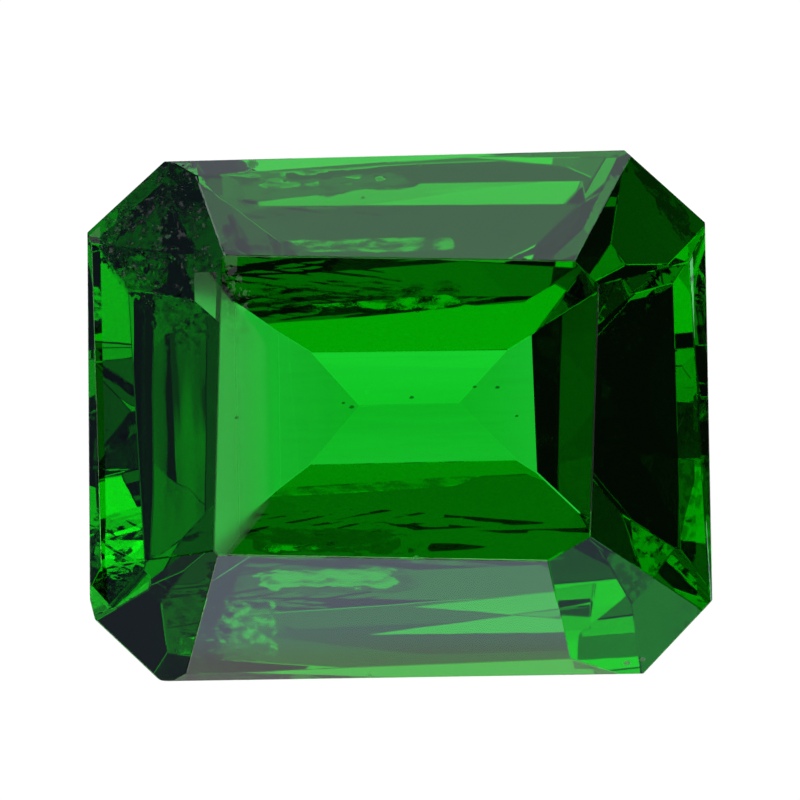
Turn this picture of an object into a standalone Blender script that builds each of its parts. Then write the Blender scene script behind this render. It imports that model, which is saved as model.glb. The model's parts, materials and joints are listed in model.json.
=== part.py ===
"""Tsavorite garnet: a green step-cut stone of eight sides, lying on one of its long pavilion facets.

The stone is one convex solid, made as a lapidary makes it: a rough block loses one slice for each facet.
The facets are laid out in the stone's own frame, in which u points right, v points to the back edge and w
points out of the table, and whose origin is on the stone's axis at the girdle's upper edge. A bearing turns
anticlockwise from u as seen from above the table, a slope is measured from the girdle plane, and a reach is
a distance from the stone's axis. Like many cut garnets the stone is a little uneven: its table is turned
about two degrees from its girdle, and each side has slopes of its own.
"""

from collections.abc import Iterator
from dataclasses import dataclass
from math import atan, cos, degrees, radians, sin, tan

import bmesh
import bpy
from mathutils import Matrix, Vector

# Driving dimensions, in millimetres and degrees
TABLE_HEIGHT = 0.62
GIRDLE_HEIGHT = 0.12
KEEL_DEPTH = 2.15
KEEL_ENDS = (Vector((-0.39, 0.118, 0.0)), Vector((0.587, 0.117, 0.0)))
RIM_SLOPE = 48.0

# The rough block is larger than the stone on every side
ROUGH_SIZE = 9.0
MM = 0.001
WELD = 0.00005 * MM

# The finished stone's colour and polish
GREEN = (0.01, 0.36, 0.03, 1.0)
POLISH = 0.03
GARNET_IOR = 1.74


@dataclass(frozen=True)
class Step:
    """One step of the pavilion: how steep it is, and its turn from the bearing it would have in an even stone."""

    slope: float
    turn: float = 0.0


@dataclass(frozen=True)
class Side:
    """A long or short side of the stone, from the table's edge over the girdle down to the keel."""

    name: str
    square: float
    girdle_bearing: float
    girdle_reach: float
    table_bearing: float
    table_reach: float
    rim_width: float
    girdle_step: Step
    middle_step: Step
    keel_step: Step
    keel_step_reach: float


@dataclass(frozen=True)
class Corner:
    """A cut corner of the stone: one facet above the girdle and two below it."""

    name: str
    girdle_bearing: float
    girdle_reach: float
    crown_bearing: float
    crown_slope: float
    crown_reach: float
    girdle_step: Step
    lower_step: Step
    lower_reach: float


SIDES = (
    Side("right", 0, -0.1, 3.001, -3.1, 1.887, 0.10,
         Step(54.5, 0.5), Step(40.5, 0.0), Step(30.0, -0.5), 1.32),
    Side("back", 90, 90.2, 2.522, 87.9, 1.528, 0.058,
         Step(57.0, -1.0), Step(44.0, -0.5), Step(28.5, -0.5), 0.63),
    Side("left", 180, 179.2, 3.000, 177.3, 1.747, 0.077,
         Step(52.0, 2.0), Step(34.5, -0.5), Step(31.5, -0.5), 1.15),
    Side("front", -90, -90.3, 2.527, -92.2, 1.367, 0.115,
         Step(54.0, -1.5), Step(40.5, 1.0), Step(29.0, 1.5), 0.45),
)

CORNERS = (
    Corner("back_right", 46.9, 3.377, 42.8, 29.0, 2.268, Step(45.5, -3.0), Step(37.5, 0.5), 0.92),
    Corner("back_left", 131.5, 3.350, 131.3, 31.0, 2.280, Step(52.0, -1.5), Step(41.0, -0.5), 1.01),
    Corner("front_left", -134.4, 3.445, -138.9, 28.5, 2.190, Step(48.0, -1.0), Step(33.0, 1.0), 0.70),
    Corner("front_right", -44.4, 3.431, -61.2, 25.5, 1.926, Step(46.0, 1.5), Step(38.5, 1.0), 0.95),
)

# The facet that the stone lies on
RESTING_FACET = "front_middle_step"


@dataclass(frozen=True)
class Facet:
    """A flat cut through the rough: a point of its plane and its outward normal, in the stone's frame."""

    name: str
    point: Vector
    normal: Vector


def outward(bearing: float) -> Vector:
    """The level direction at a bearing."""
    return Vector((cos(radians(bearing)), sin(radians(bearing)), 0.0))


def sloping(name: str, bearing: float, slope: float, reach: float, height: float) -> Facet:
    """A facet through the point at this reach and height. It faces up, or down where its slope is over 90."""
    out = outward(bearing)
    normal = out * sin(radians(slope)) + Vector((0.0, 0.0, cos(radians(slope))))
    return Facet(name, out * reach + Vector((0.0, 0.0, height)), normal)


def facing_down(name: str, bearing: float, slope: float, reach: float, height: float) -> Facet:
    """A pavilion facet through the point at this reach and height."""
    return sloping(name, bearing, 180.0 - slope, reach, height)


def side_facets(side: Side) -> Iterator[Facet]:
    """The girdle flat, crown facet, rim facet and three pavilion steps of one side."""
    rim_rise = side.rim_width * tan(radians(RIM_SLOPE))
    crown_run = side.girdle_reach - side.table_reach - side.rim_width
    crown_slope = degrees(atan((TABLE_HEIGHT - rim_rise) / crown_run))
    yield sloping(f"{side.name}_girdle", side.girdle_bearing, 90.0, side.girdle_reach, 0.0)
    yield sloping(f"{side.name}_crown", side.table_bearing, crown_slope, side.table_reach, TABLE_HEIGHT)
    yield sloping(f"{side.name}_rim", side.girdle_bearing, RIM_SLOPE, side.girdle_reach, 0.0)

    keel_height = -GIRDLE_HEIGHT - KEEL_DEPTH
    keel_bearing = side.square + side.keel_step.turn
    keel_reach = max(end.dot(outward(keel_bearing)) for end in KEEL_ENDS)
    edge_rise = (side.keel_step_reach - keel_reach) * tan(radians(side.keel_step.slope))
    yield facing_down(f"{side.name}_keel_step", keel_bearing, side.keel_step.slope, keel_reach, keel_height)
    yield facing_down(f"{side.name}_middle_step", side.square + side.middle_step.turn,
                      side.middle_step.slope, side.keel_step_reach, keel_height + edge_rise)
    yield facing_down(f"{side.name}_girdle_step", side.girdle_bearing + side.girdle_step.turn,
                      side.girdle_step.slope, side.girdle_reach, -GIRDLE_HEIGHT)


def corner_facets(corner: Corner) -> Iterator[Facet]:
    """The girdle flat, crown facet and two pavilion steps of one corner."""
    yield sloping(f"{corner.name}_girdle", corner.girdle_bearing, 90.0, corner.girdle_reach, 0.0)
    yield sloping(f"{corner.name}_crown", corner.crown_bearing, corner.crown_slope,
                  corner.crown_reach, TABLE_HEIGHT)
    yield facing_down(f"{corner.name}_girdle_step", corner.girdle_bearing + corner.girdle_step.turn,
                      corner.girdle_step.slope, corner.girdle_reach, -GIRDLE_HEIGHT)
    yield facing_down(f"{corner.name}_lower_step", corner.girdle_bearing + corner.lower_step.turn,
                      corner.lower_step.slope, corner.lower_reach, -GIRDLE_HEIGHT - KEEL_DEPTH)


def all_facets() -> list[Facet]:
    """Every facet of the stone, the table first."""
    facets = [Facet("table", Vector((0.0, 0.0, TABLE_HEIGHT)), Vector((0.0, 0.0, 1.0)))]
    for side in SIDES:
        facets.extend(side_facets(side))
    for corner in CORNERS:
        facets.extend(corner_facets(corner))
    return facets


def cut(stone: bmesh.types.BMesh, facet: Facet) -> None:
    """Slices off what lies beyond the facet's plane, and closes the stone with the new facet."""
    sliced = bmesh.ops.bisect_plane(
        stone, geom=stone.verts[:] + stone.edges[:] + stone.faces[:], dist=WELD,
        plane_co=facet.point * MM, plane_no=facet.normal, clear_outer=True)
    outline = [item for item in sliced["geom_cut"] if isinstance(item, bmesh.types.BMEdge)]
    if outline:
        bmesh.ops.contextual_create(stone, geom=outline)


def resting_turn(resting: Facet) -> Matrix:
    """The rotation from the stone's frame to the world: the resting facet faces down, and u stays along X."""
    up = -resting.normal
    along = (Vector((1.0, 0.0, 0.0)) - up * up.x).normalized()
    return Matrix((along, up.cross(along), up))


def cut_stone() -> bmesh.types.BMesh:
    """The stone with all its facets, lying on its resting facet with the middle of its base at the origin."""
    stone = bmesh.new()
    bmesh.ops.create_cube(stone, size=ROUGH_SIZE * MM)
    facets = all_facets()
    for facet in facets:
        cut(stone, facet)
    bmesh.ops.remove_doubles(stone, verts=stone.verts[:], dist=WELD)
    resting = next(facet for facet in facets if facet.name == RESTING_FACET)
    bmesh.ops.rotate(stone, verts=stone.verts[:], cent=(0.0, 0.0, 0.0), matrix=resting_turn(resting))

    low = Vector([min(vert.co[axis] for vert in stone.verts) for axis in range(3)])
    high = Vector([max(vert.co[axis] for vert in stone.verts) for axis in range(3)])
    base = Vector(((low.x + high.x) / 2, (low.y + high.y) / 2, low.z))
    bmesh.ops.translate(stone, verts=stone.verts[:], vec=-base)
    bmesh.ops.recalc_face_normals(stone, faces=stone.faces[:])
    return stone


def garnet() -> bpy.types.Material:
    """Clear green garnet with polished facets."""
    material = bpy.data.materials.new("garnet")
    material.use_nodes = True
    shader = material.node_tree.nodes["Principled BSDF"]
    shader.inputs["Base Color"].default_value = GREEN
    shader.inputs["Metallic"].default_value = 0.0
    shader.inputs["Roughness"].default_value = POLISH
    shader.inputs["IOR"].default_value = GARNET_IOR
    shader.inputs["Transmission Weight"].default_value = 1.0
    return material


def main() -> None:
    """Clears the scene and cuts the stone."""
    for old in list(bpy.data.objects):
        bpy.data.objects.remove(old)
    mesh = bpy.data.meshes.new("tsavorite")
    stone = cut_stone()
    stone.to_mesh(mesh)
    stone.free()
    mesh.materials.append(garnet())
    tsavorite = bpy.data.objects.new("tsavorite", mesh)
    bpy.context.scene.collection.objects.link(tsavorite)


if __name__ == "__main__":
    main()
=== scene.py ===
"""A loose tsavorite garnet on a white surface, dressed round its cut solid.

The stone's own axes are u along its length, v up its table and w out of the table. They are worked out from
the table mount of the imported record, whose point is where the stone's axis passes through the table. Places
on the stone are given along these axes, in millimetres, so the table is at w = 0 and the rest is below it.
"""

from __future__ import annotations

import json
import logging
from dataclasses import dataclass, field
from enum import Enum
from math import atan, cos, pi, radians, sin, tan

import bpy
from mathutils import Matrix, Vector

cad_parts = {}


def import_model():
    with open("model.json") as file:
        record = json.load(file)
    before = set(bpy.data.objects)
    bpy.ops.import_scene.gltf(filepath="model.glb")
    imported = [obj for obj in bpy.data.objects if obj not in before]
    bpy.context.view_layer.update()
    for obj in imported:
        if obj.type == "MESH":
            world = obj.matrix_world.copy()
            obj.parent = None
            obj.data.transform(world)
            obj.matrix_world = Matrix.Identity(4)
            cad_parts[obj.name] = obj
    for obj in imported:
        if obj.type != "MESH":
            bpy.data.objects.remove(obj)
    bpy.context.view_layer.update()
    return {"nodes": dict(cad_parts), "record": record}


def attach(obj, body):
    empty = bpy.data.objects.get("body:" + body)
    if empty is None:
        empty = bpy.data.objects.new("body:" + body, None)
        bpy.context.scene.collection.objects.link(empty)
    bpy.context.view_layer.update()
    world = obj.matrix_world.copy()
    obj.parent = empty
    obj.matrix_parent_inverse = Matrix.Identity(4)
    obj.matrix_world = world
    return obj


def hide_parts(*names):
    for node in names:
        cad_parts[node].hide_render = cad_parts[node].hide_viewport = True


LOG = logging.getLogger("tsavorite")

MM = 0.001

# Heights on the stone, in millimetres out of the table
TABLE_SKIN = -0.004
RIM_TOP = -0.48
GIRDLE_TOP = -0.62
PAVILION_TOP = -0.75

Socket = bpy.types.NodeSocket
Value = bpy.types.NodeSocket | float
Triple = tuple[float, float, float]


@dataclass(frozen=True)
class PhotoFrame:
    """Where the stone lies in the photograph.

    Args:
        side: The photograph's width and height, in pixels.
        axis_x: The pixel column of the stone's axis.
        axis_y: The pixel row of the stone's axis.
        scale: The size of a pixel at the stone, in metres.
        roll: The stone's anticlockwise turn in the picture, in degrees.
    """

    side: float = 800.0
    axis_x: float = 398.6
    axis_y: float = 416.4
    scale: float = 6.0 * MM / 620.2
    roll: float = 1.2


@dataclass(frozen=True)
class StoneFrame:
    """The stone's own axes in the world.

    Args:
        origin: The point where the stone's axis meets the table.
        u: The direction to the stone's right.
        v: The direction up the table, to its back edge.
        w: The direction out of the table.
    """

    origin: Vector
    u: Vector
    v: Vector
    w: Vector

    @classmethod
    def from_record(cls, record: dict) -> StoneFrame:
        """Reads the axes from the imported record.

        Args:
            record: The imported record, which states the table as a mount.

        Returns:
            The stone's frame.
        """
        table = next(mount for mount in record["mounts"] if mount["name"] == "table")
        w = Vector(table["axis"]).normalized()
        u = Vector((0.0, 1.0, 0.0)).cross(w).normalized()
        return cls(Vector(table["pos_m"]), u, w.cross(u), w)

    def below(self, depth: float) -> Vector:
        """The world point on the stone's axis at this depth below the table, in metres."""
        return self.origin - self.w * depth


@dataclass
class Sheet:
    """A material's or group's node tree, with short ways to add the usual nodes.

    Args:
        tree: The node tree that the nodes are added to.
    """

    tree: bpy.types.NodeTree

    def node(self, kind: str, **settings: object) -> bpy.types.Node:
        """Adds a node.

        Args:
            kind: The node's type.
            settings: The properties to set on it.

        Returns:
            The node.
        """
        made = self.tree.nodes.new(kind)
        for name, value in settings.items():
            setattr(made, name, value)
        return made

    def feed(self, socket: Socket, value: Value | tuple[float, ...]) -> None:
        """Links a socket to another one, or sets it to a plain value.

        Args:
            socket: The socket that is fed.
            value: What it is linked to or set to.
        """
        if isinstance(value, bpy.types.NodeSocket):
            self.tree.links.new(value, socket)
        else:
            socket.default_value = value

    def math(self, operation: str, *values: Value, clamp: bool = False) -> Socket:
        """Adds a math node.

        Args:
            operation: What the node works out.
            values: Its inputs, in order.
            clamp: Whether its result is kept between 0 and 1.

        Returns:
            Its result.
        """
        made = self.node("ShaderNodeMath", operation=operation, use_clamp=clamp)
        for socket, value in zip(made.inputs, values):
            self.feed(socket, value)
        return made.outputs["Value"]

    def product(self, *factors: Value) -> Value:
        """Multiplies numbers, such as masks that all have to hold.

        Args:
            factors: The numbers.

        Returns:
            Their product.
        """
        result = factors[0]
        for factor in factors[1:]:
            result = self.math("MULTIPLY", result, factor)
        return result

    def line(self, value: Value, slope: Value, start: Value) -> Socket:
        """The height of a straight line: the value times the slope, plus the start."""
        return self.math("MULTIPLY_ADD", value, slope, start)

    def over(self, value: Value, limit: Value) -> Socket:
        """1 where the value is over the limit, 0 elsewhere."""
        return self.math("GREATER_THAN", value, limit)

    def under(self, value: Value, limit: Value) -> Socket:
        """1 where the value is under the limit, 0 elsewhere."""
        return self.math("LESS_THAN", value, limit)

    def between(self, value: Value, low: Value, high: Value) -> Value:
        """1 where the value is between the two limits, 0 elsewhere."""
        return self.product(self.over(value, low), self.under(value, high))

    def step(self, value: Value, low: Value, high: Value) -> Socket:
        """Adds a smooth step.

        Args:
            value: What is compared.
            low: Where the step is still 0.
            high: Where it reaches 1.

        Returns:
            The step, from 0 to 1.
        """
        made = self.node("ShaderNodeMapRange", interpolation_type="SMOOTHSTEP")
        for socket, part in zip(made.inputs, (value, low, high)):
            self.feed(socket, part)
        return made.outputs["Result"]

    def vector(self, operation: str, *values: Value | Triple) -> Socket:
        """Adds a vector math node.

        Args:
            operation: What the node works out.
            values: Its inputs, in order. The number of a scaling goes to its own socket.

        Returns:
            Its result, which is a number for a dot product or length.
        """
        made = self.node("ShaderNodeVectorMath", operation=operation)
        sockets = (made.inputs[0], made.inputs["Scale"]) if operation == "SCALE" else made.inputs
        for socket, value in zip(sockets, values):
            self.feed(socket, value)
        return made.outputs["Value" if operation in ("DOT_PRODUCT", "LENGTH") else "Vector"]

    def combine(self, x: Value, y: Value, z: Value) -> Socket:
        """Adds a vector of three numbers.

        Args:
            x: Its first number.
            y: Its second number.
            z: Its third number.

        Returns:
            The vector.
        """
        made = self.node("ShaderNodeCombineXYZ")
        for socket, part in zip(made.inputs, (x, y, z)):
            self.feed(socket, part)
        return made.outputs["Vector"]

    def noise_node(self, place: Socket, scale: float, detail: float) -> bpy.types.Node:
        """Adds a noise node.

        Args:
            place: Where the noise is read.
            scale: How fine it is.
            detail: How many finer layers it has.

        Returns:
            The node.
        """
        made = self.node("ShaderNodeTexNoise")
        self.feed(made.inputs["Vector"], place)
        made.inputs["Scale"].default_value = scale
        made.inputs["Detail"].default_value = detail
        return made

    def noise(self, place: Socket, scale: float, detail: float = 2.0) -> Socket:
        """Soft noise from 0 to 1."""
        return self.noise_node(place, scale, detail).outputs["Fac"]

    def speckle(self, place: Socket, coarse: tuple[float, float], fine: tuple[float, float]) -> Socket:
        """Adds coarse and fine noise in equal parts, for patches that are made up of specks.

        Args:
            place: Where the noise is read.
            coarse: The coarse noise's scale and detail.
            fine: The fine noise's scale and detail.

        Returns:
            The noise, from 0 to 1.
        """
        both = self.math("ADD", self.noise(place, *coarse), self.noise(place, *fine))
        return self.math("MULTIPLY", both, 0.5)


def new_mask_group(name: str, inputs: tuple[str, ...]) -> Sheet:
    """Makes an empty node group that puts out one mask.

    Args:
        name: The group's name.
        inputs: The names of its inputs, which are plain numbers.

    Returns:
        The group's sheet.
    """
    group = bpy.data.node_groups.new(name, "ShaderNodeTree")
    for label in inputs:
        group.interface.new_socket(label, in_out="INPUT", socket_type="NodeSocketFloat")
    group.interface.new_socket("Mask", in_out="OUTPUT", socket_type="NodeSocketFloat")
    return Sheet(group)


@dataclass(frozen=True)
class Recut:
    """A narrow part of a pavilion facet that the polishing wheel left at a slightly different angle.

    Args:
        name: What the part looks like from above.
        low: Where its lower edge crosses the stone's middle, in millimetres up the table.
        high: Where its upper edge crosses the stone's middle, in millimetres up the table.
        start: Its left end, in millimetres.
        end: Its right end, in millimetres.
        low_slope: How its lower edge rises to the right.
        high_slope: How its upper edge rises to the right.
        cap: The highest that its upper edge reaches, in millimetres up the table.
        lift: How much steeper it is, in degrees.
        swing: How much it faces to the right, in degrees.
        soft: How gradual its edges are, in millimetres.
        grain: How broken up its polish is, from 0 to 1.
    """

    name: str
    low: float
    high: float
    start: float
    end: float
    low_slope: float = 0.0
    high_slope: float = 0.0
    cap: float = 9.0
    lift: float = 0.0
    swing: float = 0.0
    soft: float = 0.02
    grain: float = 0.0

    def inputs(self) -> dict[str, float]:
        """The inputs of the recut group that describe this part."""
        return {"Low": self.low, "Low Slope": self.low_slope, "High": self.high,
                "High Slope": self.high_slope, "Cap": self.cap, "Start": self.start, "End": self.end,
                "Soft": self.soft, "Grain": self.grain}


RECUTS = (
    Recut("back_wedge", 1.74, 2.04, -1.35, 1.85, -0.012, 0.155, cap=2.065, lift=2.4, soft=0.012),
    Recut("back_patch", 1.0, 1.36, -1.7, 0.8, lift=1.6, soft=0.11, grain=0.5),
    Recut("back_corner", 0.80, 0.27, 1.0, 1.9, high_slope=0.66, lift=2.0, soft=0.04),
    Recut("front_wedge", -1.575, -1.57, -0.1, 1.75, -0.13, 0.11, lift=-4.2),
    Recut("lowest_wedge", -1.93, -1.855, -0.55, 1.75, -0.01, 0.15, lift=-3.6),
    Recut("front_patch", -1.42, -0.97, -1.75, 0.3, lift=-3.1, soft=0.18, grain=0.43),
    Recut("front_corner", -2.32, -3.60, 1.60, 2.3, high_slope=1.0, cap=-1.5, lift=3.0),
    Recut("front_line", -1.62, -1.47, -1.75, 0.6, high_slope=-0.055, swing=-0.8),
    Recut("keel_line", -1.12, -0.91, -1.6, 1.4, 0.03, -0.10, lift=-0.6, swing=-0.8, soft=0.01),
)


def recut_group() -> bpy.types.NodeTree:
    """Makes the group that masks one recut part.

    Returns:
        The group, whose mask is 1 on the part and 0 elsewhere.
    """
    sheet = new_mask_group("recut_part", ("Along", "Across", *RECUTS[0].inputs()))
    given = sheet.node("NodeGroupInput").outputs
    along, across, soft, grain = given["Along"], given["Across"], given["Soft"], given["Grain"]
    low = sheet.line(along, given["Low Slope"], given["Low"])
    high = sheet.math("MINIMUM", sheet.line(along, given["High Slope"], given["High"]), given["Cap"])
    place = sheet.combine(along, sheet.math("MULTIPLY", across, 2.5), 0.0)
    ragged = sheet.math("SUBTRACT", sheet.noise(place, 3.5, 3.0), 0.5)
    across = sheet.line(ragged, sheet.math("MULTIPLY", soft, 1.2), across)
    above = sheet.step(sheet.math("SUBTRACT", across, low), 0.0, soft)
    below = sheet.step(sheet.math("SUBTRACT", high, across), 0.0, soft)
    wide = sheet.math("MULTIPLY", soft, 3.0)
    after = sheet.step(sheet.math("SUBTRACT", along, given["Start"]), 0.0, wide)
    before = sheet.step(sheet.math("SUBTRACT", given["End"], along), 0.0, wide)
    patchy = sheet.speckle(place, (5.0, 2.0), (60.0, 3.0))
    whole = sheet.step(patchy, sheet.math("SUBTRACT", grain, 0.02), sheet.math("ADD", grain, 0.02))
    mask = sheet.product(above, below, after, before, whole)
    sheet.feed(sheet.node("NodeGroupOutput").inputs["Mask"], mask)
    return sheet.tree


class Blemish(Enum):
    """What a tiny flaw of the polish looks like."""

    PIT = "dark"
    NICK = "bright"


@dataclass(frozen=True)
class Flaw:
    """A tiny flaw in the polish of the table or crown.

    Args:
        u: Where it is along the stone, in millimetres.
        v: Where it is up the table, in millimetres.
        radius: Its radius, in millimetres.
        blemish: What it looks like.
    """

    u: float
    v: float
    radius: float
    blemish: Blemish = Blemish.PIT


FLAWS = (
    Flaw(0.13, 0.18, 0.030), Flaw(-0.45, 0.10, 0.034), Flaw(-0.53, 0.14, 0.022), Flaw(0.74, 0.27, 0.026),
    Flaw(0.96, 0.26, 0.030), Flaw(1.14, -0.02, 0.022), Flaw(-1.56, 0.02, 0.030), Flaw(-0.30, 2.12, 0.026),
    Flaw(-1.36, 2.47, 0.070, Blemish.NICK), Flaw(-1.39, 2.40, 0.040, Blemish.NICK),
    Flaw(2.16, -2.43, 0.045, Blemish.NICK), Flaw(2.31, -2.40, 0.035, Blemish.NICK),
    Flaw(0.14, -1.36, 0.028, Blemish.NICK), Flaw(-0.33, -2.50, 0.035, Blemish.NICK),
)


def flaw_group() -> bpy.types.NodeTree:
    """Makes the group that masks one flaw.

    Returns:
        The group, whose mask is 1 in the flaw and 0 elsewhere.
    """
    sheet = new_mask_group("flaw", ("Along", "Across", "Middle Along", "Middle Across", "Radius"))
    given = sheet.node("NodeGroupInput").outputs
    radius = given["Radius"]
    along = sheet.math("SUBTRACT", given["Along"], given["Middle Along"])
    across = sheet.math("SUBTRACT", given["Across"], given["Middle Across"])
    ragged = sheet.math("SUBTRACT", sheet.noise(sheet.combine(along, across, 0.0), 45.0), 0.5)
    distance = sheet.vector("LENGTH", sheet.combine(along, sheet.math("MULTIPLY", across, 1.5), 0.0))
    distance = sheet.line(ragged, radius, distance)
    mask = sheet.step(distance, radius, sheet.math("MULTIPLY", radius, 0.5))
    sheet.feed(sheet.node("NodeGroupOutput").inputs["Mask"], mask)
    return sheet.tree


@dataclass(frozen=True)
class Spot:
    """Where a point of the surface lies on the stone.

    Args:
        point: The point in the world, in metres.
        u: Millimetres along the stone.
        v: Millimetres up the table.
        w: Millimetres out of the table.
    """

    point: Socket
    u: Socket
    v: Socket
    w: Socket

    @classmethod
    def on(cls, sheet: Sheet, axes: StoneFrame) -> Spot:
        """Adds the nodes that work the place out.

        Args:
            sheet: The material's sheet.
            axes: The stone's own axes.

        Returns:
            The place.
        """
        point = sheet.node("ShaderNodeTexCoord").outputs["Object"]
        places = []
        for axis in (axes.u, axes.v, axes.w):
            along = sheet.vector("DOT_PRODUCT", point, tuple(axis))
            metres = sheet.math("SUBTRACT", along, axes.origin.dot(axis))
            places.append(sheet.math("MULTIPLY", metres, 1 / MM))
        return cls(point, *places)


@dataclass(frozen=True)
class Facet:
    """Which kind of facet a point of the surface is on.

    Args:
        normal: The facet's normal.
        level: How nearly it is level with the table, from 0 to 1.
        pavilion: 1 below the girdle.
        is_long: 1 on the pavilion's long facets.
        is_short: 1 on its short ones.
    """

    normal: Socket
    level: Socket
    pavilion: Socket
    is_long: Value
    is_short: Value

    @classmethod
    def of(cls, sheet: Sheet, spot: Spot, axes: StoneFrame) -> Facet:
        """Adds the nodes that tell the facets apart.

        Args:
            sheet: The material's sheet.
            spot: Where the point lies.
            axes: The stone's own axes.

        Returns:
            The kind of facet.
        """
        normal = sheet.node("ShaderNodeNewGeometry").outputs["True Normal"]
        faces_u, faces_v, level = (
            sheet.math("ABSOLUTE", sheet.vector("DOT_PRODUCT", normal, tuple(axis)))
            for axis in (axes.u, axes.v, axes.w))
        pavilion = sheet.under(spot.w, PAVILION_TOP)
        is_long = sheet.product(sheet.over(faces_v, faces_u), pavilion)
        return cls(normal, level, pavilion, is_long, sheet.math("SUBTRACT", pavilion, is_long))


@dataclass(frozen=True)
class Garnet:
    """Clear green garnet, cut and polished by hand, so that its facets are a little wavy and streaked.

    Args:
        axes: The stone's own axes.
        absorption: How much red, green and blue light the garnet takes up, per metre.
        ior: The garnet's refractive index.
        wave: How far the polish strays across a facet, in degrees.
        mottle: How much steeper the mottled spots of the front facet are, in degrees.
        streak: How much the brushed streaks of the front facet face to the right, in degrees.
        rim_turn: How far the rounded rims of the two ends are turned out of the table.
        corner_turn: How far the pavilion's front left corner is turned, in degrees.
        pit_shade: The share of the light that a pit holds back.
        corner_painted_shade: How much painted shade darkens the back left corner, as the share of its light
            that is held back.
        wear_stray: How far the pits of the scuffed back left corner turn its surface.
        scuff: The roughness of the scuffed back left corner.
        speck: How much rougher its specks are, and the nicks elsewhere.
        rub: The roughness of the table's rubbed edge.
    """

    axes: StoneFrame
    absorption: Triple = (1860.0, 191.0, 1400.0)
    ior: float = 1.74
    wave: float = 0.3
    mottle: float = -3.6
    streak: float = -0.9
    rim_turn: float = 0.1
    corner_turn: float = -3.0
    pit_shade: float = 0.9
    corner_painted_shade: float = 0.8
    wear_stray: float = 0.3
    scuff: float = 0.1
    speck: float = 0.6
    rub: float = 0.36

    def build(self) -> bpy.types.Material:
        """Makes the material.

        Returns:
            The material: plain transmission, with the colour taken up inside, and painted shade in its base
                colour.
        """
        material = bpy.data.materials.new("garnet")
        material.use_nodes = True
        sheet = Sheet(material.node_tree)
        shader = material.node_tree.nodes["Principled BSDF"]
        shader.inputs["Roughness"].default_value = 0.0
        shader.inputs["IOR"].default_value = self.ior
        shader.inputs["Transmission Weight"].default_value = 1.0
        self.fill(sheet)

        spot = Spot.on(sheet, self.axes)
        facet = Facet.of(sheet, spot, self.axes)
        # The back left corner: real scuffs and pits, and painted shade in the base colour.
        worn_and_shaded = self.worn_shaded_corner(sheet, spot)
        pits, nicks = self.flaws(sheet, spot)
        sheet.feed(shader.inputs["Normal"], self.pitted(sheet, spot, self.polished(sheet, spot, facet), worn_and_shaded))
        # Base colour: painted shade on the facets by the keel and on the back left corner, and darker pits.
        painted_shade_tint = sheet.product(self.painted_shade_tint(sheet, spot, facet), sheet.line(pits, -self.pit_shade, 1.0),
                             sheet.line(worn_and_shaded, -self.corner_painted_shade, 1.0))
        sheet.feed(shader.inputs["Base Color"], painted_shade_tint)
        rubbed = sheet.line(nicks, self.speck, self.rubbed_edge(sheet, spot))
        specks = sheet.step(sheet.noise(spot.point, 26000.0), 0.66, 0.72)
        scuffed = sheet.product(worn_and_shaded, sheet.line(specks, self.speck, self.scuff))
        sheet.feed(shader.inputs["Roughness"], sheet.math("MAXIMUM", rubbed, scuffed))
        return material

    def fill(self, sheet: Sheet) -> None:
        """Adds the absorption inside the stone.

        Args:
            sheet: The material's sheet.
        """
        density = max(self.absorption) * 1.05
        volume = sheet.node("ShaderNodeVolumeAbsorption")
        volume.inputs["Color"].default_value = (*(1.0 - share / density for share in self.absorption), 1.0)
        volume.inputs["Density"].default_value = density
        sheet.feed(sheet.tree.nodes["Material Output"].inputs["Volume"], volume.outputs["Volume"])

    def polished(self, sheet: Sheet, spot: Spot, facet: Facet) -> Socket:
        """Adds the normal of the polished surface.

        Args:
            sheet: The material's sheet.
            spot: Where the point lies.
            facet: Which kind of facet it is on.

        Returns:
            The normal.
        """
        lift, swing = self.recut(sheet, spot)
        lift = sheet.product(self.wavy_lift(sheet, spot, lift), sheet.math("SIGN", spot.v), facet.is_long)
        swing = sheet.product(self.streaky_swing(sheet, spot, swing), facet.is_long)
        swing = sheet.math("ADD", swing, self.wavy_ends(sheet, spot, facet))
        rim = self.rims(sheet, spot)
        normal = sheet.vector("ADD", facet.normal, sheet.vector("SCALE", tuple(self.axes.w), rim))
        normal = self.corner_cuts(sheet, spot, normal)
        moved = sheet.vector("SUBTRACT", normal, sheet.vector("SCALE", tuple(self.axes.v), lift))
        moved = sheet.vector("SUBTRACT", moved, sheet.vector("SCALE", tuple(self.axes.u), swing))
        diagonal = (-self.axes.u - self.axes.v).normalized()
        faces = sheet.math("ABSOLUTE", sheet.vector("DOT_PRODUCT", normal, tuple(diagonal)))
        corner = sheet.product(sheet.under(spot.u, -1.6), sheet.under(spot.v, -1.0), sheet.over(faces, 0.62),
                               facet.pavilion)
        turn = tuple(diagonal * radians(self.corner_turn))
        return sheet.vector("NORMALIZE", sheet.vector("SUBTRACT", moved, sheet.vector("SCALE", turn, corner)))

    def recut(self, sheet: Sheet, spot: Spot) -> tuple[Value, Value]:
        """Adds the turns of the recut parts.

        Args:
            sheet: The material's sheet.
            spot: Where the point lies.

        Returns:
            How much steeper the surface is, and how much it faces to the right, in radians.
        """
        group = recut_group()
        lift: Value = 0.0
        swing: Value = 0.0
        for part in RECUTS:
            made = sheet.node("ShaderNodeGroup", node_tree=group, label=part.name)
            for name, value in {"Along": spot.u, "Across": spot.v, **part.inputs()}.items():
                sheet.feed(made.inputs[name], value)
            lift = sheet.line(made.outputs["Mask"], radians(part.lift), lift)
            if part.swing:
                swing = sheet.line(made.outputs["Mask"], radians(part.swing), swing)
        return lift, swing

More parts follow.
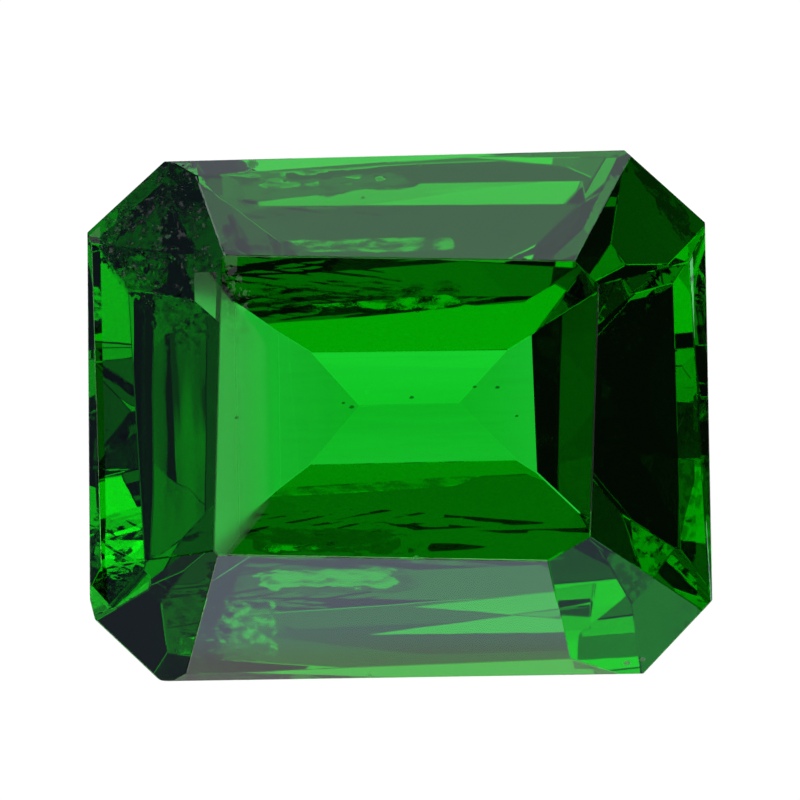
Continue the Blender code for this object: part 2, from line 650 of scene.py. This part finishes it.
    def wavy_lift(self, sheet: Sheet, spot: Spot, lift: Value) -> Socket:
        """Adds the waves of the long facets, and the mottled spots at the front facet's left end.

        Args:
            sheet: The material's sheet.
            spot: Where the point lies.
            lift: How much steeper the surface is so far, in radians.

        Returns:
            How much steeper it is.
        """
        specks = sheet.speckle(sheet.combine(spot.u, spot.v, 5.0), (9.0, 3.0), (80.0, 3.0))
        dots = sheet.step(specks, 0.51, 0.55)
        dots = sheet.product(dots, sheet.step(spot.u, -1.0, -1.4), sheet.step(spot.v, -1.38, -1.5),
                             sheet.step(spot.u, -2.15, -2.0))
        lift = sheet.line(dots, radians(self.mottle), lift)
        waves = sheet.noise(sheet.combine(sheet.math("MULTIPLY", spot.u, 0.12), spot.v, 0.0), 4.0)
        return sheet.line(sheet.math("SUBTRACT", waves, 0.5), radians(2 * self.wave), lift)

    def streaky_swing(self, sheet: Sheet, spot: Spot, swing: Value) -> Socket:
        """Breaks the strips up into fine lines, and adds the brushed streaks at the front facet's left end.

        Args:
            sheet: The material's sheet.
            spot: Where the point lies.
            swing: How much the surface faces to the right so far, in radians.

        Returns:
            How much it faces to the right.
        """
        along = sheet.math("MULTIPLY", spot.u, 0.7)
        across = sheet.math("MULTIPLY", sheet.line(spot.u, 0.1, spot.v), 9.0)
        silk = sheet.step(sheet.noise(sheet.combine(along, across, 7.0), 1.6, 4.0), 0.42, 0.5)
        swing = sheet.product(swing, sheet.line(silk, 0.9, 0.1))
        along = sheet.math("MULTIPLY", spot.u, 0.6)
        across = sheet.math("MULTIPLY", sheet.line(spot.u, -0.17, spot.v), 14.0)
        streaks = sheet.step(sheet.noise(sheet.combine(along, across, 2.0), 1.5, 4.0), 0.52, 0.62)
        left = sheet.product(sheet.step(spot.u, 0.5, -0.9), sheet.step(spot.v, -0.8, -1.0))
        return sheet.line(sheet.product(streaks, left), radians(self.streak), swing)

    def wavy_ends(self, sheet: Sheet, spot: Spot, facet: Facet) -> Value:
        """Adds the waves of the short facets.

        Args:
            sheet: The material's sheet.
            spot: Where the point lies.
            facet: Which kind of facet it is on.

        Returns:
            How much the surface faces to the right, in radians.
        """
        waves = sheet.noise(sheet.combine(spot.u, sheet.math("MULTIPLY", spot.v, 0.12), 3.0), 4.0)
        turn = sheet.math("MULTIPLY", sheet.math("SUBTRACT", waves, 0.5), radians(2 * self.wave))
        return sheet.product(turn, sheet.math("SIGN", spot.u), facet.is_short)

    def rims(self, sheet: Sheet, spot: Spot) -> Value:
        """Adds the rounding of the narrow rims at the two ends, as seen from outside.

        Args:
            sheet: The material's sheet.
            spot: Where the point lies.

        Returns:
            How far the surface is turned out of the table.
        """
        at_ends = sheet.over(sheet.math("ABSOLUTE", spot.u), 2.85)
        outside = sheet.math("SUBTRACT", 1.0, sheet.node("ShaderNodeNewGeometry").outputs["Backfacing"])
        return sheet.product(sheet.between(spot.w, GIRDLE_TOP, RIM_TOP), at_ends, outside, self.rim_turn)

    def corner_cuts(self, sheet: Sheet, spot: Spot, normal: Socket) -> Socket:
        """Moves the visible junctions of the two left corners, where the crown was touched up by hand.

        Args:
            sheet: The material's sheet.
            spot: Where the point lies.
            normal: The surface's normal so far.

        Returns:
            The normal.
        """
        crown = sheet.between(spot.w, -0.6, -0.02)
        side = sheet.math("SIGN", sheet.vector("DOT_PRODUCT", normal, tuple(self.axes.w)))
        faces_back = sheet.math("ABSOLUTE", sheet.vector("DOT_PRODUCT", normal, tuple(self.axes.v)))
        edge = sheet.math("MAXIMUM", sheet.line(spot.v, -0.146, -1.543), sheet.line(spot.v, -0.484, -0.855))
        back = sheet.product(sheet.under(spot.u, edge), sheet.over(faces_back, 0.46), sheet.over(spot.v, 1.0))
        beside = sheet.over(sheet.line(spot.u, -0.736, spot.v), 0.262)
        front = sheet.product(beside, sheet.over(faces_back, 0.25), sheet.under(spot.v, -1.0))
        for mask, (u, v, w) in ((back, (-0.359, -0.123, -0.003)), (front, (-0.053, 0.333, 0.032)),
                                (self.flat_spot(sheet, spot), (0.413, -0.02, 0.089))):
            shift = tuple(self.axes.u * u + self.axes.v * v + self.axes.w * w)
            amount = sheet.product(mask, crown, side)
            normal = sheet.vector("ADD", normal, sheet.vector("SCALE", shift, amount))
        return normal

    def flat_spot(self, sheet: Sheet, spot: Spot) -> Value:
        """Masks the small spot outside the table's left edge that was ground level with the table.

        Args:
            sheet: The material's sheet.
            spot: Where the point lies.

        Returns:
            1 on the spot, 0 elsewhere.
        """
        right_of_corner = sheet.over(sheet.line(spot.u, 0.9, spot.v), -0.595)
        return sheet.product(sheet.between(spot.w, -0.3, TABLE_SKIN), sheet.between(spot.u, -1.945, -1.6),
                             sheet.under(spot.v, 1.43), right_of_corner)

    def pitted(self, sheet: Sheet, spot: Spot, normal: Socket, worn_and_shaded: Value) -> Socket:
        """Turns the surface where fine pits scatter what is seen through it.

        Args:
            sheet: The material's sheet.
            spot: Where the point lies.
            normal: The polished surface's normal.
            worn_and_shaded: The mask of the back left corner, whose pits turn the surface here; the same mask
                darkens it with painted shade.

        Returns:
            The normal.
        """
        colour = sheet.noise_node(spot.point, 18000.0, 5.0).outputs["Color"]
        stray = sheet.vector("SUBTRACT", colour, (0.5, 0.5, 0.5))
        stray = sheet.vector("SCALE", stray, sheet.product(worn_and_shaded, self.wear_stray))
        return sheet.vector("NORMALIZE", sheet.vector("ADD", normal, stray))

    def painted_shade_tint(self, sheet: Sheet, spot: Spot, facet: Facet) -> Socket:
        """Adds the painted shade of the facets by the keel: the share of light that each of them lets
        through, broken into fine lines.

        Args:
            sheet: The material's sheet.
            spot: Where the point lies.
            facet: Which kind of facet it is on.

        Returns:
            The share, from 0 to 1.
        """
        keel = sheet.product(sheet.over(facet.level, 0.84), facet.pavilion)
        on_long = sheet.line(sheet.over(spot.v, 0.12), 0.32, 0.68)
        on_short = sheet.line(sheet.over(spot.u, 0.1), 0.07, 0.58)
        share = sheet.line(facet.is_long, sheet.math("SUBTRACT", on_long, on_short), on_short)
        across = sheet.math("MULTIPLY", spot.v, 3.0)
        lines = sheet.noise(sheet.combine(sheet.math("MULTIPLY", spot.u, 0.25), across, 9.0), 5.0, 3.0)
        share = sheet.product(share, sheet.line(lines, 0.3, 0.85))
        return sheet.math("MULTIPLY_ADD", keel, sheet.math("SUBTRACT", share, 1.0), 1.0, clamp=True)

    def worn_shaded_corner(self, sheet: Sheet, spot: Spot) -> Value:
        """Masks the crown's back left corner, which is pitted and scuffed, and which the base colour darkens
        with painted shade.

        Args:
            sheet: The material's sheet.
            spot: Where the point lies.

        Returns:
            How much of the corner's wear and painted shade applies, from 0 to 1.
        """
        blotch = sheet.math("SUBTRACT", sheet.noise(spot.point, 5000.0, 3.0), 0.5)
        right_end = sheet.math("ADD", sheet.line(spot.v, 0.35, spot.u), sheet.math("MULTIPLY", blotch, 0.5))
        low_end = sheet.math("ADD", blotch, spot.v)
        left_end = sheet.line(spot.u, 1.55, spot.v)
        inside = sheet.product(sheet.step(right_end, -1.0, -1.2), sheet.step(low_end, 0.6, 1.5),
                               sheet.step(left_end, -2.85, -2.7))
        crown = sheet.math("SUBTRACT", sheet.over(spot.w, PAVILION_TOP), self.flat_spot(sheet, spot))
        spots = sheet.step(sheet.noise(spot.point, 11000.0, 5.0), 0.57, 0.45)
        return sheet.product(inside, crown, sheet.line(spots, 0.75, 0.25))

    def flaws(self, sheet: Sheet, spot: Spot) -> tuple[Value, Value]:
        """Masks the tiny flaws of the table and crown.

        Args:
            sheet: The material's sheet.
            spot: Where the point lies.

        Returns:
            The masks of the pits and of the nicks.
        """
        group = flaw_group()
        masks: dict[Blemish, Value] = {Blemish.PIT: 0.0, Blemish.NICK: 0.0}
        for flaw in FLAWS:
            made = sheet.node("ShaderNodeGroup", node_tree=group)
            for socket, value in zip(made.inputs, (spot.u, spot.v, flaw.u, flaw.v, flaw.radius)):
                sheet.feed(socket, value)
            masks[flaw.blemish] = sheet.math("MAXIMUM", masks[flaw.blemish], made.outputs["Mask"])
        crown = sheet.over(spot.w, -0.72)
        return sheet.product(masks[Blemish.PIT], crown), sheet.product(masks[Blemish.NICK], crown)

    def rubbed_edge(self, sheet: Sheet, spot: Spot) -> Value:
        """Adds the roughness of the table's rubbed left edge.

        Args:
            sheet: The material's sheet.
            spot: Where the point lies.

        Returns:
            The roughness.
        """
        at_table = sheet.math("MAXIMUM", sheet.over(spot.w, TABLE_SKIN), self.flat_spot(sheet, spot))
        above = sheet.step(sheet.line(spot.u, 1.3, spot.v), -0.85, -0.95)
        below = sheet.step(sheet.line(spot.u, -1.1, spot.v), 0.5, 0.6)
        return sheet.product(sheet.step(spot.u, -1.15, -1.75), at_table, above, below, self.rub)


@dataclass
class Stone:
    """The cut stone, with its facet junctions softened as polishing leaves them.

    Args:
        node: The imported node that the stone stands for.
        garnet: What the stone is made of.
        junction: The width of the softened junction between two facets, in metres.
        segments: The number of faces across a junction.
        weld: The distance within which corners are one, in metres.
        flat_angle: The angle up to which two triangles are one facet, in degrees.
        junction_angle: The least angle of a junction, in degrees.
    """

    node: bpy.types.Object
    garnet: Garnet
    junction: float = 0.010 * MM
    segments: int = 2
    weld: float = 0.00005 * MM
    flat_angle: float = 0.05
    junction_angle: float = 2.0

    def build(self) -> bpy.types.Object:
        """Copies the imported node, merges it and bevels its junctions.

        Returns:
            The stone.
        """
        bpy.ops.object.select_all(action="DESELECT")
        self.node.select_set(True)
        bpy.context.view_layer.objects.active = self.node
        bpy.ops.object.duplicate()
        stone = bpy.context.view_layer.objects.active
        stone.name = "cut_stone"
        stone.data.name = "cut_stone"
        bpy.ops.object.mode_set(mode="EDIT")
        bpy.ops.mesh.select_all(action="SELECT")
        bpy.ops.mesh.remove_doubles(threshold=self.weld)
        bpy.ops.mesh.dissolve_limited(angle_limit=radians(self.flat_angle))
        bpy.ops.object.mode_set(mode="OBJECT")
        bevel = stone.modifiers.new("junctions", "BEVEL")
        bevel.width = self.junction
        bevel.segments = self.segments
        bevel.limit_method = "ANGLE"
        bevel.angle_limit = radians(self.junction_angle)
        bpy.ops.object.modifier_apply(modifier=bevel.name)
        stone.data.materials.clear()
        stone.data.materials.append(self.garnet.build())
        for key in [key for key in stone.keys() if key.startswith("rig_")]:
            del stone[key]
        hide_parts(self.node.name)
        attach(stone, "root")
        return stone


@dataclass(frozen=True)
class Softbox:
    """A soft rectangular light that faces the stone.

    Args:
        name: The light's name.
        azimuth: Its bearing round the stone, 0 in front and 90 to the right, in degrees.
        elevation: Its height above the horizon, in degrees.
        half_width: Half the angle that it covers from side to side, in degrees.
        half_height: Half the angle that it covers from top to bottom, in degrees.
        radiance: How bright its face is, where the white floor is 1.
        colour: The light's colour.
        distance: Its distance from the stone, in metres.
    """

    name: str
    azimuth: float
    elevation: float
    half_width: float
    half_height: float
    radiance: float
    colour: Triple = (1.0, 1.0, 1.0)
    distance: float = 0.3

    def build(self, aim: Vector) -> bpy.types.Object:
        """Makes the light.

        Args:
            aim: The point that the light faces.

        Returns:
            The light.
        """
        a, e = radians(self.azimuth), radians(self.elevation)
        back = Vector((sin(a) * cos(e), -cos(a) * cos(e), sin(e)))
        side = Vector((cos(a), sin(a), 0.0))
        bpy.ops.object.light_add(type="AREA", location=aim + back * self.distance)
        light = bpy.context.view_layer.objects.active
        light.name = self.name
        light.rotation_euler = Matrix((side, back.cross(side), back)).transposed().to_euler()
        light.data.shape = "RECTANGLE"
        light.data.size = 2 * self.distance * tan(radians(self.half_width))
        light.data.size_y = 2 * self.distance * tan(radians(self.half_height))
        light.data.color = self.colour
        light.data.energy = self.radiance * light.data.size * light.data.size_y * pi
        return light


SOFTBOXES = (
    Softbox("back_panel", 186.0, 44.0, 28.0, 39.0, 0.92, (0.9, 1.0, 1.12)),
    Softbox("back_left_high", -138.0, 72.0, 12.0, 10.0, 0.7),
    Softbox("back_right_high", 143.0, 79.0, 6.0, 6.0, 1.9),
    Softbox("back_high", -157.0, 80.0, 4.0, 4.0, 1.9),
    Softbox("lens_left", -8.0, 44.5, 5.0, 6.5, 0.42),
    Softbox("lens_left_top", -8.0, 54.0, 5.0, 3.0, 0.22),
    Softbox("lens_far_left", -16.0, 53.0, 3.0, 4.5, 0.2),
    Softbox("lens_bar", -3.0, 60.0, 6.0, 3.0, 1.3),
    Softbox("lens_right", 17.0, 47.0, 8.5, 9.5, 0.18),
    Softbox("front_strip", -5.0, 32.0, 11.0, 5.0, 1.3),
    Softbox("front_fill", 4.0, 19.5, 11.0, 7.5, 0.25),
    Softbox("front_card", -15.5, 12.0, 9.0, 12.0, 1.9),
    Softbox("front_left_low", -39.0, 6.0, 6.0, 6.0, 0.13, (1.0, 1.2, 1.7)),
    Softbox("front_right_low", 25.0, 6.0, 11.0, 6.0, 0.3, (0.85, 1.0, 1.5)),
    Softbox("above", -5.0, 72.0, 8.0, 9.0, 0.4),
    Softbox("left_strip", -63.0, 14.0, 8.0, 14.0, 0.7),
    Softbox("left_high", -62.0, 69.0, 24.0, 10.0, 0.45),
    Softbox("left_wall", -92.0, 30.0, 27.0, 30.0, 0.06, (0.7, 1.0, 1.6)),
    Softbox("left_card", -84.0, 26.0, 7.0, 9.0, 0.15),
    Softbox("right_slit", 47.0, 40.0, 3.0, 9.0, 0.22),
    Softbox("far_right_card", 102.0, 28.0, 8.0, 8.0, 0.3),
)


@dataclass(frozen=True)
class Paper:
    """White paper lit evenly from within, with its far parts toned for light that isn't seen directly.

    Args:
        glow: How bright it is where the camera sees it.
        glow_below: How bright it is for light that goes through the stone.
        far: Where the far tone starts and where it is full, as a distance from the stone, in metres.
        far_tone: The colour of the far parts.
        left: Where the left side starts to darken and where it is darkest, along X, in metres.
        left_shade: The share of its light that the left side loses.
    """

    glow: float = 1.0
    glow_below: float = 1.12
    far: tuple[float, float] = (0.015, 0.03)
    far_tone: Triple = (1.03, 1.2, 1.5)
    left: tuple[float, float] = (-0.02, -0.06)
    left_shade: float = 0.8

    def build(self) -> bpy.types.Material:
        """Makes the material.

        Returns:
            The material.
        """
        material = bpy.data.materials.new("white_surface")
        material.use_nodes = True
        sheet = Sheet(material.node_tree)
        shader = material.node_tree.nodes["Principled BSDF"]
        shader.inputs["Base Color"].default_value = (0.05, 0.05, 0.05, 1.0)
        shader.inputs["Roughness"].default_value = 0.9
        shader.inputs["Specular IOR Level"].default_value = 0.0
        seen = sheet.node("ShaderNodeLightPath").outputs["Is Camera Ray"]
        unseen = sheet.math("SUBTRACT", 1.0, seen)
        point = sheet.node("ShaderNodeTexCoord").outputs["Object"]
        place = sheet.node("ShaderNodeSeparateXYZ")
        sheet.feed(place.inputs["Vector"], point)

        # Painted light: for light that goes through the stone, the floor's far parts glow with a bluish tone.
        away = sheet.product(sheet.step(sheet.vector("LENGTH", point), *self.far), unseen)
        tone = sheet.node("ShaderNodeMix", data_type="RGBA")
        near, far = (part for part in tone.inputs if part.identifier in ("A_Color", "B_Color"))
        sheet.feed(tone.inputs["Factor"], away)
        sheet.feed(near, (1.0, 1.0, 1.0, 1.0))
        sheet.feed(far, (*self.far_tone, 1.0))
        mixed = next(part for part in tone.outputs if part.identifier == "Result_Color")
        sheet.feed(shader.inputs["Emission Color"], mixed)

        glow = sheet.line(seen, self.glow - self.glow_below, self.glow_below)
        # Painted shade: for light that goes through the stone, the floor's left side glows less.
        shade = sheet.product(sheet.step(place.outputs["X"], *self.left), unseen)
        strength = sheet.product(glow, sheet.line(shade, -self.left_shade, 1.0))
        sheet.feed(shader.inputs["Emission Strength"], strength)
        return material


@dataclass
class Studio:
    """The white surface, the soft lights and the dark room round the stone.

    Args:
        aim: The point that the lights face.
        paper: What the surface is made of.
        floor_size: The surface's width, in metres.
        air_film: The gap under the stone, which keeps its lowest facet and the surface apart, in metres.
        room: How bright the room is round the stone.
        backdrop: How bright it is where the camera sees it.
    """

    aim: Vector
    paper: Paper = field(default_factory=Paper)
    floor_size: float = 1.2
    air_film: float = 0.015 * MM
    room: float = 0.01
    backdrop: float = 0.85

    def build(self) -> None:
        """Makes the floor, the lights and the room."""
        self.lay_floor()
        for box in SOFTBOXES:
            box.build(self.aim)
        self.darken_room()

    def lay_floor(self) -> None:
        """Lays the white surface under the stone."""
        bpy.ops.object.select_all(action="DESELECT")
        bpy.ops.mesh.primitive_plane_add(size=self.floor_size, location=(0.0, 0.0, -self.air_film))
        floor = bpy.context.view_layer.objects.active
        floor.name = "floor"
        floor.data.materials.append(self.paper.build())

    def darken_room(self) -> None:
        """Makes the room, which is dark for the stone and pale for the camera."""
        world = bpy.data.worlds.new("room")
        bpy.context.scene.world = world
        world.use_nodes = True
        background = world.node_tree.nodes["Background"]
        background.inputs["Color"].default_value = (1.0, 1.0, 1.0, 1.0)
        sheet = Sheet(world.node_tree)
        seen = sheet.node("ShaderNodeLightPath").outputs["Is Camera Ray"]
        sheet.feed(background.inputs["Strength"], sheet.line(seen, self.backdrop - self.room, self.room))


@dataclass
class Camera:
    """A long lens that looks square at the table, turned as the photograph is.

    Args:
        stone: The stone's own axes.
        photo: Where the stone lies in the photograph.
        distance: The camera's distance from the stone, in metres.
        girdle_depth: How far the girdle is below the table, in metres.
    """

    stone: StoneFrame
    photo: PhotoFrame = field(default_factory=PhotoFrame)
    distance: float = 0.25
    girdle_depth: float = 0.62 * MM

    def build(self) -> bpy.types.Object:
        """Makes the scene's camera.

        Returns:
            The camera.
        """
        roll = radians(self.photo.roll)
        right = self.stone.u * cos(roll) - self.stone.v * sin(roll)
        up = self.stone.u * sin(roll) + self.stone.v * cos(roll)
        middle = self.photo.side / 2
        target = (self.stone.below(self.girdle_depth)
                  + right * (middle - self.photo.axis_x) * self.photo.scale
                  - up * (middle - self.photo.axis_y) * self.photo.scale)
        bpy.ops.object.camera_add(location=target + self.stone.w * self.distance)
        camera = bpy.context.view_layer.objects.active
        camera.rotation_euler = Matrix((right, up, self.stone.w)).transposed().to_euler()
        camera.data.clip_start = self.distance * 0.1
        camera.data.angle = 2 * atan(middle * self.photo.scale / self.distance)
        bpy.context.scene.camera = camera
        return camera


@dataclass(frozen=True)
class View:
    """Plain colours, and enough bounces for light to find its way through the stone.

    Args:
        bounces: The most bounces of any kind.
        stone_bounces: The most reflections, and the most passages through the surface.
    """

    bounces: int = 32
    stone_bounces: int = 24

    def apply(self) -> None:
        """Sets the scene's view and light paths."""
        scene = bpy.context.scene
        scene.view_settings.view_transform = "Standard"
        scene.cycles.max_bounces = self.bounces
        scene.cycles.glossy_bounces = self.stone_bounces
        scene.cycles.transmission_bounces = self.stone_bounces


def main() -> None:
    """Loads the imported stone, dresses it and sets it in its studio."""
    logging.basicConfig(level=logging.INFO, format="%(name)s: %(message)s")
    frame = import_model()
    axes = StoneFrame.from_record(frame["record"])
    Camera(axes).build()
    LOG.info("camera set, square to the table")
    stone = Stone(frame["nodes"]["tsavorite"], Garnet(axes)).build()
    LOG.info("%s dressed, %d faces", stone.name, len(stone.data.polygons))
    Studio(axes.origin).build()
    LOG.info("floor, room and %d lights set", len(SOFTBOXES))
    View().apply()


if __name__ == "__main__":
    main()
